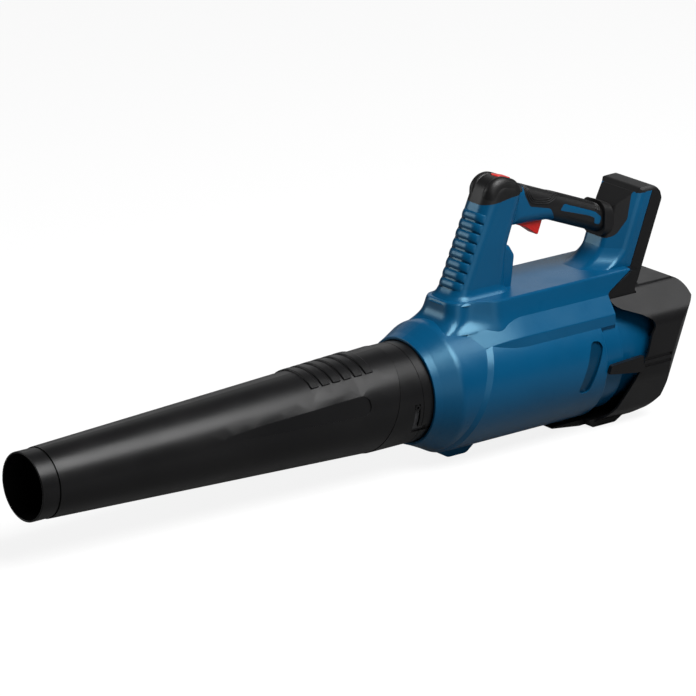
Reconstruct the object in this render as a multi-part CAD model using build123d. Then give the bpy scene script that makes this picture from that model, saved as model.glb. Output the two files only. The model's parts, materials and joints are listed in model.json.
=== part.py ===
from build123d import *
import math
import os

# Cordless leaf blower: an axial fan in a two-part shell, with a bayonet air tube in front.
# Working frame: X along the fan axis towards the outlet, Y to the tool's left, Z up from the axis,
# X = 0 at the air tube's slanted seam.  The finished pieces are moved so that the origin lies on the
# floor below the middle of the tool.  Millimetres and degrees.

# Clearances
SEAT = 0.05
RUNNING_FIT = 0.03
BODY_GAP = 0.4

# Air tube
TUBE_LENGTH = 480.0
TUBE_RADIUS = 60.0
TIP_RADIUS = 40.0
TUBE_WALL = 2.2
TIP_LAND = 22.0
TIP_GROOVE = 1.6
SEAM_TILT = 16.0
SEAM_GAP = 0.8
RIB_PANEL_START = 16.0
RIB_PANEL_LENGTH = 92.0
RIB_COUNT = 6
RIB_HEIGHT = 1.8
RIB_PANEL_ANGLE = 75.0
SCOOP_START = 36.0
SCOOP_LENGTH = 205.0
SCOOP_DEPTH = 1.4
SCOOP_WIDTH = 24.0
SCOOP_ANGLE = 17.0

# Bayonet between air tube and outlet spigot
COLLAR_LENGTH = 58.0
COLLAR_SLEEVE = 40.0
STUD_X = -29.3
STUD_RADIUS = 3.6
STUD_HOLE = 1.6
BAYONET_TURN = 28.5
SPIGOT_WALL = 2.5
SPIGOT_FRONT = -24.0
SEAL_X = -46.0
SEAL_WIDTH = 4.0

# Shell: barrel, neck and front ring
BARREL_RADIUS = 81.0
PANEL_STEP = 3.0
SHELL_WALL = 3.0
RING_FRONT = -52.0
RING_GAP = 1.4
RING_LIP = 2.6
DOME_END = -92.0
BARREL_END = -300.0
NECK_STEP_RADIUS = 76.0
NECK_STEP_END = -328.0
NECK_RADIUS = 70.0
NECK_END = -386.0
PANEL_X = -118.6
PANEL_LEAN = 20.2
PANEL_BEVEL = 8.0

# Shell: deck and its shoulders
DECK_HEIGHT = 101.2
DECK_HALF = 48.5
DECK_EDGE = 2.5
RIDGE_HALF = 52.0
RIDGE_HEIGHT = 78.8
SHOULDER_HALF = 67.0
SHOULDER_HEIGHT = 56.9
SHOULDER_DROP = 12.5
SHOULDER_FRONT = -196.0
PLINTH_FRONT = -156.0
NOSE_X = -104.5
NOSE_HALF = 31.0
DECK_REAR = -322.0

# Handle
POST_WIDTH = 48.0
POST_REAR = -193.5
GRIP_WIDTH = 34.0
GRIP_DEPTH = 33.0
GRIP_SLOPE = 21.0
GRIP_TOP_X = -227.0
GRIP_TOP_Z = 219.5
SKIN = 2.0
HANDLE_WALL = 2.6
POST_RIBS = 8
POST_RIB_PITCH = 12.0
POST_RIB_DEPTH = 1.6

# Rear post and battery mount
REAR_LEAN = 20.5
REAR_HALF = 36.0
REAR_FACE_X = -333.1
REAR_DEPTH = 39.0
REAR_TOP = 187.0
POST_FOOT = 74.0
MOUNT_DEPTH = 19.0
MOUNT_ZERO = 96.0
RAIL_HALF = 30.0
RAIL_DEPTH = 9.0
RAIL_LIP = 3.5
HOOD_THICKNESS = 6.0

# Intake cover and feet
COVER_REAR = -441.0
COVER_HALF = 83.0
COVER_TOP = 77.5
COVER_WALL = 3.0
COVER_FRONT = -322.0
AXIS_HEIGHT = 89.0
REAR_FOOT_HALF = 42.0
FRONT_FOOT_HALF = 18.0
STRUT_THICKNESS = 3.6

# Fan and motor
DUCT_RADIUS = 62.0
DUCT_WALL = 2.5
DUCT_REAR = -290.0
DUCT_FRONT = -100.0
POD_RADIUS = 27.0
POD_WALL = 2.8
POD_REAR = -228.0
POD_FRONT = -150.0
VANE_COUNT = 9
VANE_THICKNESS = 2.0
WIRE_VANE_THICKNESS = 13.0
FLANGE_WIDTH = 4.0
BLADE_COUNT = 11
BLADE_THICKNESS = 2.2
BLADE_CHORD = 32.0
BLADE_TIP_GAP = 0.7
IMPELLER_X = -248.0
IMPELLER_LENGTH = 28.0
SHAFT_RADIUS = 3.0
BEARING_RADIUS = 9.5
BEARING_WIDTH = 6.0
STACK_LENGTH = 30.0
STACK_X = -188.0
ROTOR_RADIUS = 12.8
MAGNET_THICKNESS = 2.3
AIR_GAP = 0.6
TOOTH_COUNT = 6
TOOTH_WIDTH = 6.0

# Trigger and button
TRIGGER_HALF = 8.0
TRIGGER_PIN_X = -217.0
TRIGGER_PIN_Z = 184.0
TRIGGER_PIN_RADIUS = 2.0
TRIGGER_TURN = 12.0
SPRING_X = -240.0
SPRING_FOOT = 185.0
SPRING_HEAD = 195.5
BUTTON_X = -199.0
BUTTON_LENGTH = 22.0
BUTTON_WIDTH = 15.0
BUTTON_TRAVEL = 2.0
BUTTON_FOOT = 216.0
BUTTON_PROUD = 1.2
BUTTON_FLANGE = 1.6
SHELF_TOP = 200.0
SWITCH_X = -241.0
SWITCH_LENGTH = 34.0
SWITCH_DEPTH = 11.0
SWITCH_GAP = 0.25

# Fasteners
SCREW_RADIUS = 1.8
SCREW_HEAD = 3.5
BOSS_RADIUS = 4.6

# Electronics and leads
BOARD_LEVEL = 84.0
BOARD_THICKNESS = 1.6
TRAY_GAP = 10.0
TRAY_REAR = DECK_REAR + TRAY_GAP
TRAY_FRONT = -214.0
TRAY_HALF = 39.0
LEAD_RADIUS = 1.3
LEAD_PITCH = 3.2
LEAD_ROOM = 14.0


def tube(x_low, x_high, inner, outer):
    """Straight tube along X."""
    length = x_high - x_low
    wall = Cylinder(outer, length, rotation=(0, 90, 0)) - Cylinder(inner, length, rotation=(0, 90, 0))
    return Pos((x_low + x_high) / 2, 0, 0) * wall


def disc(x_low, x_high, radius):
    """Solid cylinder along X."""
    return Pos((x_low + x_high) / 2, 0, 0) * Cylinder(radius, x_high - x_low, rotation=(0, 90, 0))


def outline(corners):
    """Closed face through (a, b, radius) corners, each rounded to its own radius."""
    points = [(a, b) for a, b, _ in corners]
    radii = [radius for _, _, radius in corners]
    return make_face(FilletPolyline(*points, radius=radii, close=True))


def turned(corners):
    """Body of revolution about the fan axis from (x, r, radius) corners."""
    return revolve(Plane.XZ * outline(corners), axis=Axis.X)


def side_prism(corners, half_width):
    """Side outline in X and Z, carried half_width to each side of the middle plane."""
    return extrude(Plane.XZ * outline(corners), amount=half_width, both=True)


def across_prism(half_corners, x_low, x_high, inset=0.0):
    """Mirror-symmetric outline in Y and Z, carried along X; half_corners run down the +Y side."""
    mirrored = [(-a, b, radius) for a, b, radius in reversed(half_corners)]
    face = outline(half_corners + mirrored)
    if inset:
        face = offset(face, amount=-inset, kind=Kind.INTERSECTION)
    return extrude(Plane.YZ.offset(x_low) * face, amount=x_high - x_low)


def y_rod(x, z, radius, y_low, y_high):
    """Rod across the tool."""
    return Pos(x, (y_low + y_high) / 2, z) * Cylinder(radius, y_high - y_low, rotation=(90, 0, 0))


def block(x_low, x_high, y_low, y_high, z_low, z_high):
    """Box between its corners."""
    size = (x_high - x_low, y_high - y_low, z_high - z_low)
    return Pos((x_low + x_high) / 2, (y_low + y_high) / 2, (z_low + z_high) / 2) * Box(*size)


def both_sides(solid):
    """The solid and its mirror image in the middle plane."""
    return solid + mirror(solid, about=Plane.XZ)


def group(solids):
    """Separate solids as one body."""
    return solids[0] + solids[1:]


def around_axis(solid, count):
    """The solid repeated evenly round the fan axis."""
    return group([Rot(360 * i / count, 0, 0) * solid for i in range(count)])


def tube_radius_at(x):
    """Outer radius of the air tube's cone."""
    return TUBE_RADIUS - (TUBE_RADIUS - TIP_RADIUS) * x / TUBE_LENGTH


def seam_cutter(x):
    """Half space in front of the slanted seam plane through x on the axis."""
    reach = 3 * TUBE_LENGTH
    return Pos(x, 0, 0) * Rot(0, -SEAM_TILT, 0) * block(0, reach, -reach, reach, -reach, reach)


def nozzle_tube():
    """Cone with a straight land at the tip, a rib panel on top and a scoop on each side."""
    back = -40.0
    land_x = TUBE_LENGTH - TIP_LAND
    land_r = tube_radius_at(land_x)
    wall = TUBE_WALL
    cone = turned([
        (back, tube_radius_at(back), 0), (land_x - TIP_GROOVE, tube_radius_at(land_x - TIP_GROOVE), 0),
        (land_x - TIP_GROOVE, TIP_RADIUS - 0.6, 0), (land_x, TIP_RADIUS - 0.6, 0), (land_x, TIP_RADIUS, 0),
        (TUBE_LENGTH, TIP_RADIUS, 0.8), (TUBE_LENGTH, TIP_RADIUS - wall, 0.8),
        (land_x, land_r - wall - 0.9, 0),
        (land_x - 60, tube_radius_at(land_x - 60) - wall, 0), (back, tube_radius_at(back) - wall, 0),
    ])
    cone = cone & seam_cutter(SEAM_GAP / 2)
    pitch = RIB_PANEL_LENGTH / RIB_COUNT
    for i in range(RIB_COUNT):
        low = RIB_PANEL_START + pitch * i + pitch * 0.14
        high = RIB_PANEL_START + pitch * (i + 1) - pitch * 0.14
        sink = 1.0
        rib = outline([
            (low, tube_radius_at(low) - sink, 0), (low, tube_radius_at(low) + RIB_HEIGHT, RIB_HEIGHT * 0.8),
            (high, tube_radius_at(high) + RIB_HEIGHT, RIB_HEIGHT * 0.8),
            (high, tube_radius_at(high) - sink, 0),
        ])
        bar = revolve(Plane.XZ * rib, axis=Axis.X, revolution_arc=RIB_PANEL_ANGLE)
        sweep_sign = 1 if bar.center().Y < 0 else -1
        cone = cone + Rot(-sweep_sign * RIB_PANEL_ANGLE / 2, 0, 0) * bar
    return cone - both_sides(side_scoop())


def side_scoop():
    """Shallow hollow along the tube's side, deepest and roundest at its rear end, dying out in front."""
    front = SCOOP_START + SCOOP_LENGTH
    half = SCOOP_WIDTH / 2
    plan = outline([
        (SCOOP_START, -half, half * 0.9), (front, -half * 0.35, 3), (front, half * 0.35, 3),
        (SCOOP_START, half, half * 0.9),
    ])
    floor_rear = tube_radius_at(SCOOP_START) - SCOOP_DEPTH
    floor_front = tube_radius_at(front)
    drop = math.degrees(math.atan2(floor_rear - floor_front, SCOOP_LENGTH))
    face = Plane(origin=(0, 0, 0), x_dir=(1, 0, 0), z_dir=(0, 1, 0)) * plan
    prism = extrude(face, amount=2 * TUBE_RADIUS)
    above = Pos(SCOOP_START, floor_rear, 0) * Rot(0, 0, -drop) * block(-60, 400, 0, 60, -60, 60)
    return Rot(SCOOP_ANGLE, 0, 0) * (prism & above)


def nozzle_collar():
    """Rear end of the air tube: sleeve into the cone, bayonet slots, thin step line."""
    wall = TUBE_WALL
    inner = TUBE_RADIUS - wall
    collar = turned([
        (-COLLAR_LENGTH, inner, 0), (-COLLAR_LENGTH, TUBE_RADIUS, 0.8), (30, TUBE_RADIUS, 0), (30, inner, 0),
    ])
    collar = collar - seam_cutter(-SEAM_GAP / 2)
    collar = collar - tube(-38.6, -37.8, TUBE_RADIUS - 0.5, TUBE_RADIUS + 1)
    low = SPIGOT_FRONT + 6
    sleeve = turned([
        (low, inner + 0.5, 0), (COLLAR_SLEEVE, tube_radius_at(COLLAR_SLEEVE) - wall - SEAT, 0),
        (COLLAR_SLEEVE, tube_radius_at(COLLAR_SLEEVE) - 2 * wall + 0.4, 0), (low, inner - wall + 0.4, 0),
    ])
    sleeve = sleeve & turned([
        (-90, 0, 0), (-90, inner + 0.5, 0), (-18, inner + 0.5, 0), (-18, inner - SEAT + 0.75, 0),
        (90, tube_radius_at(90) - wall - SEAT, 0), (90, 0, 0),
    ])
    collar = collar + sleeve
    slot = STUD_RADIUS + BODY_GAP
    end_angle = math.degrees(slot / TUBE_RADIUS)
    cutters = [slot_cutter(slot, end_angle)]
    cutters.append(Rot(180, 0, 0) * cutters[0])
    return collar - cutters


def slot_cutter(half, end_angle):
    """J slot: a run round the collar from the stud's seat, then a straight way to the rear edge."""
    low = TUBE_RADIUS - TUBE_WALL - 1
    high = TUBE_RADIUS + 2
    strip = Plane.XY * outline([
        (STUD_X - half, low, 0), (STUD_X - half, high, 0), (STUD_X + half, high, 0), (STUD_X + half, low, 0),
    ])
    arc = BAYONET_TURN + end_angle
    run = revolve(strip, axis=Axis.X, revolution_arc=arc)
    if run.center().Z > 0:
        run = Rot(-arc, 0, 0) * run
    run = Rot(end_angle, 0, 0) * run
    entry = Rot(-BAYONET_TURN, 0, 0) * block(-COLLAR_LENGTH - 1, STUD_X + half, low, high, -half, half)
    return run + entry


def bayonet_studs():
    """Two hollow studs across the spigot."""
    stud = y_rod(STUD_X, 0, STUD_RADIUS, spigot_outer() - SPIGOT_WALL - 2, TUBE_RADIUS + 0.3)
    stud = stud - y_rod(STUD_X, 0, STUD_HOLE, spigot_outer(), TUBE_RADIUS + 1)
    return group([stud, Rot(180, 0, 0) * stud])


def spigot_outer():
    """Outer radius of the fixed spigot inside the collar."""
    return TUBE_RADIUS - TUBE_WALL - BODY_GAP


def outlet_duct():
    """Fixed spigot, flared at the rear to slip over the fan duct."""
    outer = spigot_outer()
    inner = outer - SPIGOT_WALL
    duct_outer = DUCT_RADIUS + DUCT_WALL
    spigot = turned([
        (SPIGOT_FRONT, inner, 0.8), (SPIGOT_FRONT, outer, 0.8), (-66, outer, 20),
        (DUCT_FRONT + 2, duct_outer + SEAT + 2, 8), (DUCT_FRONT - 12, duct_outer + SEAT + 2, 0),
        (DUCT_FRONT - 12, duct_outer + SEAT, 0), (DUCT_FRONT + SEAT, duct_outer + SEAT, 0),
        (DUCT_FRONT + SEAT, DUCT_RADIUS, 0), (-72, inner, 20),
    ])
    groove = tube(SEAL_X - SEAL_WIDTH / 2, SEAL_X + SEAL_WIDTH / 2, outer - 1.2, outer + 1)
    holes = [y_rod(STUD_X, 0, STUD_RADIUS + SEAT, 0, TUBE_RADIUS)]
    holes.append(Rot(180, 0, 0) * holes[0])
    return spigot - groove - holes


def collar_seal():
    """Ring seal in the spigot's groove."""
    outer = spigot_outer()
    half = SEAL_WIDTH / 2 - SEAT
    return tube(SEAL_X - half, SEAL_X + half, outer - 1.2 + SEAT, outer + BODY_GAP - RUNNING_FIT)


def bore_radius():
    """Bore of the shell round the fan duct."""
    return BARREL_RADIUS - PANEL_STEP - SHELL_WALL


def barrel(inset):
    """Front dome, barrel with its raised side panel, and stepped rear neck."""
    ring_r = TUBE_RADIUS + RING_GAP
    front_r = BARREL_RADIUS - PANEL_STEP
    if inset:
        bore = bore_radius()
        return turned([
            (RING_FRONT - 8, 0, 0), (RING_FRONT - 8, ring_r + RING_LIP, 4), (DOME_END - 4, bore, 14),
            (BARREL_END + inset, bore, 0), (BARREL_END + inset, NECK_RADIUS - inset, 0),
            (NECK_END - 10, NECK_RADIUS - inset, 0), (NECK_END - 10, 0, 0),
        ])
    core = turned([
        (RING_FRONT, 0, 0), (RING_FRONT, ring_r + RING_LIP, 1.2),
        (RING_FRONT - 9, ring_r + RING_LIP + 3.5, 10),
        (DOME_END + 8, front_r, 18), (BARREL_END, front_r, 0), (BARREL_END, NECK_STEP_RADIUS, 0),
        (NECK_STEP_END, NECK_STEP_RADIUS, 1), (NECK_STEP_END, NECK_RADIUS, 0),
        (NECK_END, NECK_RADIUS, 0), (NECK_END, 0, 0),
    ])
    panel = disc(BARREL_END, DOME_END, BARREL_RADIUS)
    reach = 4 * BARREL_RADIUS
    ahead = Pos(PANEL_X, 0, 0) * Rot(0, -PANEL_LEAN, 0) * block(0, reach, -reach, reach, -reach, reach)
    panel = panel - ahead
    panel = fillet(panel.edges().filter_by(GeomType.CIRCLE).group_by(Axis.X)[0], PANEL_STEP * 0.8)
    bevel = loft([
        leaning_ellipse(PANEL_X, BARREL_RADIUS), leaning_ellipse(PANEL_X + PANEL_BEVEL, front_r - 0.4),
    ], ruled=True)
    return core + panel + bevel


def leaning_ellipse(x, radius):
    """Cut through a cylinder about the fan axis, leaning as the panel's front edge does."""
    lean = math.radians(PANEL_LEAN)
    plane = Plane(origin=(x, 0, 0), x_dir=(0, 1, 0), z_dir=(math.cos(lean), 0, math.sin(lean)))
    return plane * Ellipse(radius, radius / math.cos(lean))


def deck(inset):
    """Shoulders on the barrel that carry the deck, fading into the dome in front."""
    foot = SHOULDER_HEIGHT - SHOULDER_DROP
    foot_half = math.sqrt(BARREL_RADIUS ** 2 - foot ** 2)
    profile = [
        (RIDGE_HALF, RIDGE_HEIGHT, 0), (SHOULDER_HALF, SHOULDER_HEIGHT, 3), (foot_half, foot, 0),
        (foot_half - 12, 20, 0),
    ]
    low = DECK_REAR + inset
    full = across_prism(profile, low, SHOULDER_FRONT, inset)
    section = full.faces().sort_by(Axis.X)[-1]
    fade = [(0, 1.0), (28, 0.985), (56, 0.925), (84, 0.815)]
    nose = loft([scaled_about_axis(Pos(ahead, 0, 0) * section, scale) for ahead, scale in fade])
    return full + nose


def plinth_outline(grow_front, grow_side):
    """Plan of the deck: wide behind, drawn in to a rounded nose under the front post."""
    wide = DECK_HALF + grow_side
    waist = NOSE_HALF + grow_side
    nose = NOSE_X + grow_front
    half = [
        (deck_end(), wide, 0), (PLINTH_FRONT, wide, 30), (nose - 24, waist, 30), (nose, waist - 3, 17),
    ]
    return outline(half + [(a, -b, radius) for a, b, radius in reversed(half)])


def plinth(inset):
    """Deck with a rounded edge and steep walls that flare out to the shoulders and the dome."""
    rim = DECK_HEIGHT - DECK_EDGE
    walls = [(rim - 32, 26, 8.5), (rim - 24, 14, 5.5), (rim - 17, 6, 3.4), (rim - 8, 2, 1.5), (rim, 0, 0)]
    edge = [
        (rim, 0, 0), (rim + 0.7 * DECK_EDGE, -0.3 * DECK_EDGE, -0.3 * DECK_EDGE),
        (DECK_HEIGHT, -DECK_EDGE, -DECK_EDGE),
    ]
    parts = []
    for levels, ruled in ((walls, False), (edge, True)):
        plans = [(z - inset, plinth_outline(front - inset, side - inset)) for z, front, side in levels]
        parts.append(loft([Pos(0, 0, z) * plan for z, plan in plans], ruled=ruled))
    return parts[0] + parts[1]


def deck_end():
    """X where the deck ends under the rear post."""
    return rear_back_at(DECK_HEIGHT) + 12


def scaled_about_axis(face, factor):
    """The face made smaller towards the fan axis, in its own plane."""
    x = face.center().X
    return Pos(x, 0, 0) * (Pos(-x, 0, 0) * face).scale(factor)


def handle_prism(corners, half_width, edge_radius, inset):
    """Side outline carried across the tool, with its two long edges rounded."""
    face = outline(corners)
    if inset:
        face = offset(face, amount=-inset)
    prism = extrude(Plane.XZ * face, amount=half_width - inset, both=True)
    sides = prism.faces().sort_by(Axis.Y)
    return fillet(sides[0].edges() + sides[-1].edges(), edge_radius - max(inset, 0))


def grip_top_at(x):
    """Height of the grip's top line."""
    return GRIP_TOP_Z + (x - GRIP_TOP_X) * math.tan(math.radians(GRIP_SLOPE))


def post_corners():
    """Side view of the front post."""
    return [(-96, 60, 0), (-174.3, 240.3, 22), (-224, 226, 19), (-197, 150, 70), (-192, 60, 0)]


def front_post(inset):
    """Front post with the rounded corner on top."""
    return handle_prism(post_corners(), POST_WIDTH / 2, 17, inset)


def grip(inset):
    """Sloping grip, deeper in front where it holds the trigger."""
    slope = math.radians(GRIP_SLOPE)
    rear = -372.0
    below = (rear + math.sin(slope) * GRIP_DEPTH, grip_top_at(rear) - math.cos(slope) * GRIP_DEPTH)
    return handle_prism([
        (-200, grip_top_at(-200), 0), (rear, grip_top_at(rear), 0), (below[0], below[1], 0), (-264, 170, 30),
        (-204, 173, 0),
    ], GRIP_WIDTH / 2, 13, inset)


def post_foot():
    """Small flare where the front post stands on the deck."""
    flare = [(-4, 9), (0, 5), (3, 2.2), (7, 0.6), (12, -0.4)]
    sections = []
    for rise, grow in flare:
        z = DECK_HEIGHT + rise
        front = post_front_at(z) + grow
        rear = POST_REAR - grow
        plan = RectangleRounded(front - rear, POST_WIDTH + 2 * grow, 17 + grow)
        sections.append(Pos((front + rear) / 2, 0, z) * plan)
    return loft(sections)


def post_heel(inset):
    """Thicker heel low on the front post's rear face."""
    return handle_prism([
        (-172, 92, 0), (-207, 92, 0), (-212.5, 138, 8), (-205, 150, 6), (-196, 154, 0), (-172, 154, 0),
    ], 14, 6, inset)


def post_front_at(z):
    """X of the front post's front line at a height."""
    low, high = post_corners()[:2]
    return low[0] + (z - low[1]) * (high[0] - low[0]) / (high[1] - low[1])


def handle(inset):
    """Handle loop from its foot on the deck to the rear post."""
    return front_post(inset) + grip(inset) + post_heel(inset)


def rear_post(inset):
    """Leaning rear post, narrow round the grip's end and wide at the battery mount."""
    half = REAR_HALF - inset
    front = REAR_FACE_X - inset
    back = REAR_FACE_X - REAR_DEPTH + inset
    plan = rear_plan(half, front, back)
    low = POST_FOOT if inset > 0 else POST_FOOT - 14 + inset
    start = Plane.XY.offset(low) * (Pos((DECK_HEIGHT - low) * lean_run(), 0, 0) * plan)
    along = Vector(-lean_run(), 0, 1)
    post = extrude(start, amount=(REAR_TOP - inset - low) * along.length, dir=along)
    return post - hood_slope(inset)


def rear_plan(half, front, back):
    """Plan of the rear post: narrow in front round the grip's end, wide behind."""
    return outline([
        (front, -0.45 * half, 10), (front - 24, -half, 16), (back, -half, 1.2),
        (back, half, 1.2), (front - 24, half, 16), (front, 0.45 * half, 10),
    ])


def rear_flare():
    """Hollow sweep from the deck up the rear post's front face."""
    flare = [(-6, 34), (0, 24), (4, 13), (9, 6.5), (16, 2), (26, -0.6)]
    sections = []
    for rise, grow in flare:
        plan = rear_plan(REAR_HALF - 0.3, REAR_FACE_X + grow, REAR_FACE_X - REAR_DEPTH + 4)
        sections.append(Pos(-rise * lean_run(), 0, DECK_HEIGHT + rise) * plan)
    return loft(sections) - deck_skirt()


def hood_slope(inset):
    """What lies above the slope from the rear post's top down to the grip."""
    dx = 0.6 * inset
    dz = 0.8 * inset
    return side_prism([
        (-332 - dx, 150 - dz, 0), (-432 - dx, 225 - dz, 0), (-432, 260, 0), (-300, 260, 0),
        (-300, 150 - dz, 0),
    ], 2 * REAR_HALF)


def lean_run():
    """How far the rear post leans back for each millimetre of height."""
    return math.tan(math.radians(REAR_LEAN))


def rear_back_at(z):
    """X of the rear post's back face at a height."""
    return REAR_FACE_X - REAR_DEPTH - (z - DECK_HEIGHT) * lean_run()


def rear_room(inset):
    """Room under the deck's rear end, with a passage for the leads into the rear post."""
    top = DECK_HEIGHT - inset
    front = DECK_REAR + 2 * inset
    rise = (DECK_HEIGHT - RIDGE_HEIGHT) / (DECK_REAR - deck_end())
    low = RIDGE_HEIGHT + 1.4 * inset
    room = side_prism([
        (front, RIDGE_HEIGHT + inset, 0), (front, top, 0), (DECK_REAR - (top - low) / rise, top, 0),
        (DECK_REAR, low, 0),
    ], DECK_HALF - inset)
    return room + block(deck_end() + 2, front, -LEAD_ROOM, LEAD_ROOM, low, top)


def deck_skirt():
    """What the mount's skirt takes away under the deck's rear end."""
    low = RIDGE_HEIGHT - 30
    rear = deck_end()
    return side_prism([
        (DECK_REAR, low, 0), (DECK_REAR, RIDGE_HEIGHT, 6), (rear - 1, DECK_HEIGHT - 1, 0), (rear - 1, low, 0),
    ], 2 * RIDGE_HALF)


def front_foot():
    """Foot under the front of the barrel."""
    floor = -AXIS_HEIGHT
    return side_prism([
        (DOME_END + 10, -60, 0), (DOME_END + 4, -76, 8), (DOME_END - 16, floor, 12),
        (DOME_END - 44, floor, 10),
        (DOME_END - 60, -77, 6), (DOME_END - 62, -60, 0),
    ], FRONT_FOOT_HALF)


def panel_recess():
    """Slanted hollow near the rear end of the side panel."""
    strip = side_prism([
        (-297, 30, 8), (-279, 34, 8), (-256, -26, 6), (-273, -28, 6),
    ], BARREL_RADIUS + 5)
    return strip & tube(BARREL_END, DOME_END, BARREL_RADIUS - PANEL_STEP, BARREL_RADIUS + 4)


def post_grooves():
    """Grooves between the ribs on the post's front face."""
    rise = math.radians(113)
    cuts = []
    for i in range(POST_RIBS):
        along = i * POST_RIB_PITCH
        place = Pos(-118 + along * math.cos(rise), 0, 112 + along * math.sin(rise)) * Rot(0, -23, 0)
        cuts.append(place * Box(60, 0.84 * POST_WIDTH, 2.2))
    return cuts


def cap_region():
    """Where the soft cap lies on the handle's front corner, as a side view."""
    return side_prism([
        (-130, 202, 0), (-150, 206, 20), (-197, 213, 30), (-221.5, 214, 5), (-224, 250, 0), (-130, 250, 0),
    ], POST_WIDTH)


def sleeve_region():
    """Where the soft sleeve lies on the grip, as a side view."""
    return side_prism([
        (-225, 250, 0), (-222.5, 209, 8), (-231, 194, 5), (-262, 186, 6), (-270, 172, 6), (-272, 130, 0),
        (-352, 110, 0), (-352, 250, 0),
    ], GRIP_WIDTH) - both_sides(inlay_region())


def inlay_region():
    """Window in the sleeve on the lower side of the grip, where the shell shows."""
    window = outline([
        (-277, 181, 3), (-283, 188, 4), (-331, 169.5, 6), (-341, 161, 4), (-338, 152, 3), (-288, 172, 4),
    ])
    return extrude(Plane.XZ.offset(-GRIP_WIDTH) * window, amount=0.82 * GRIP_WIDTH)


def hood_region():
    """Where the soft hood lies on the rear post's front face, as a front view."""
    face = [(25, 215, 0), (30, 156, 12), (24, 134, 10)]
    return across_prism(face, -420, -300)


def soft_skin(outer, inner, region):
    """Layer of soft over-mould on a form, within a region."""
    return (outer - inner) & region


def shell_solid(forms):
    """Both shell halves as one hollow body, before they are parted."""
    outer = barrel(0) + deck(0) + forms["plinth"] + forms["handle"] + post_foot()
    outer = outer + forms["post"] + rear_flare() + front_foot()
    behind = block(2 * DECK_REAR, DECK_REAR + 2 * SHELL_WALL, -BARREL_RADIUS, BARREL_RADIUS, 0, DECK_HEIGHT)
    inner = barrel(SHELL_WALL) + deck(SHELL_WALL) + (plinth(SHELL_WALL) - behind)
    inner = inner + handle(SKIN + HANDLE_WALL) + rear_post(SHELL_WALL + 1) + rear_room(SHELL_WALL)
    shell = outer - inner
    ribs = soft_skin(forms["handle"], handle(POST_RIB_DEPTH), group(post_grooves()))
    shell = shell - ribs - panel_recess()
    ring_bore = disc(RING_FRONT - 30, RING_FRONT + 1, TUBE_RADIUS + RING_GAP)
    return shell - ring_bore


def shell_bosses():
    """Screw posts across the shell, as (x, z, half width of the form there)."""
    return [
        (-152, 168, POST_WIDTH / 2), (-168, 116, POST_WIDTH / 2), (-368, 128, REAR_HALF),
        (-386, 172, REAR_HALF), (DOME_END - 28, 5 - AXIS_HEIGHT, FRONT_FOOT_HALF),
    ]


def wire_x():
    """Where the motor leads come down through the thick vane."""
    return STACK_X + STACK_LENGTH / 2 + 2.4


def fan_housing():
    """Fan duct with guide vanes, motor pod and two flanges for the damper rings."""
    outer = DUCT_RADIUS + DUCT_WALL
    duct = tube(DUCT_REAR, DUCT_FRONT, DUCT_RADIUS, outer)
    pod = tube(POD_REAR, POD_FRONT, POD_RADIUS - POD_WALL, POD_RADIUS)
    low = POD_REAR + 8
    high = POD_FRONT - 8
    root = POD_RADIUS - 0.5
    tip = DUCT_RADIUS + 0.5
    vane = block(low, high, -VANE_THICKNESS / 2, VANE_THICKNESS / 2, root, tip)
    body = duct + pod + block(low, high, -WIRE_VANE_THICKNESS / 2, WIRE_VANE_THICKNESS / 2, root, tip)
    body = body + [Rot(360 * i / VANE_COUNT, 0, 0) * vane for i in range(1, VANE_COUNT)]
    for x in flange_places():
        body = body + tube(x - FLANGE_WIDTH / 2, x + FLANGE_WIDTH / 2, outer - 0.5, flange_radius())
    half = 1.5 * LEAD_PITCH
    return body - block(wire_x() - 2.2, wire_x() + 2.2, -half, half, root - POD_WALL, outer + 1)


def flange_places():
    """X of the two damper flanges."""
    return [DUCT_REAR + 14, DUCT_FRONT - 20]


def flange_radius():
    """Outer radius of the damper flanges."""
    return bore_radius() - 4


def damper_rings():
    """Rubber rings with a groove for the flange, seated in the shell's bore."""
    rings = []
    for x in flange_places():
        ring = tube(x - 6, x + 6, flange_radius() - 4, bore_radius() - SEAT)
        half = FLANGE_WIDTH / 2 + SEAT
        rings.append(ring - disc(x - half, x + half, flange_radius() + SEAT))
    return group(rings)


def impeller_rear():
    """X of the impeller's rear face, where the nut sits."""
    return IMPELLER_X - IMPELLER_LENGTH / 2 - 12


def fan_impeller():
    """Axial impeller with twisted blades and a rounded hub."""
    high = IMPELLER_X + IMPELLER_LENGTH / 2
    low = IMPELLER_X - IMPELLER_LENGTH / 2
    rim = POD_RADIUS - 0.5
    bore = SHAFT_RADIUS + RUNNING_FIT
    hub = turned([
        (high, bore, 0), (high, rim, 1), (low, rim, 10), (impeller_rear(), 12, 5), (impeller_rear(), bore, 0),
    ])
    stations = [(POD_RADIUS - 4, 35), (DUCT_RADIUS + 2, 62)]
    sections = []
    for height, pitch in stations:
        turn = math.radians(pitch)
        chord = (math.cos(turn), math.sin(turn), 0)
        plane = Plane(origin=(IMPELLER_X, 0, height), x_dir=chord, z_dir=(0, 0, 1))
        sections.append(plane * Rectangle(BLADE_CHORD, BLADE_THICKNESS))
    swept = tube(low, high, POD_RADIUS - 3, DUCT_RADIUS - BLADE_TIP_GAP)
    blade = loft(sections, ruled=True) & swept
    return hub + [Rot(360 * i / BLADE_COUNT, 0, 0) * blade for i in range(BLADE_COUNT)]


def fan_nut():
    """Hexagon nut that holds the impeller on the shaft."""
    plane = Plane(origin=(impeller_rear() - SEAT, 0, 0), z_dir=(-1, 0, 0))
    nut = extrude(plane * RegularPolygon(5.5, 6), amount=5)
    return nut - disc(impeller_rear() - 10, impeller_rear(), SHAFT_RADIUS + RUNNING_FIT)


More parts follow.
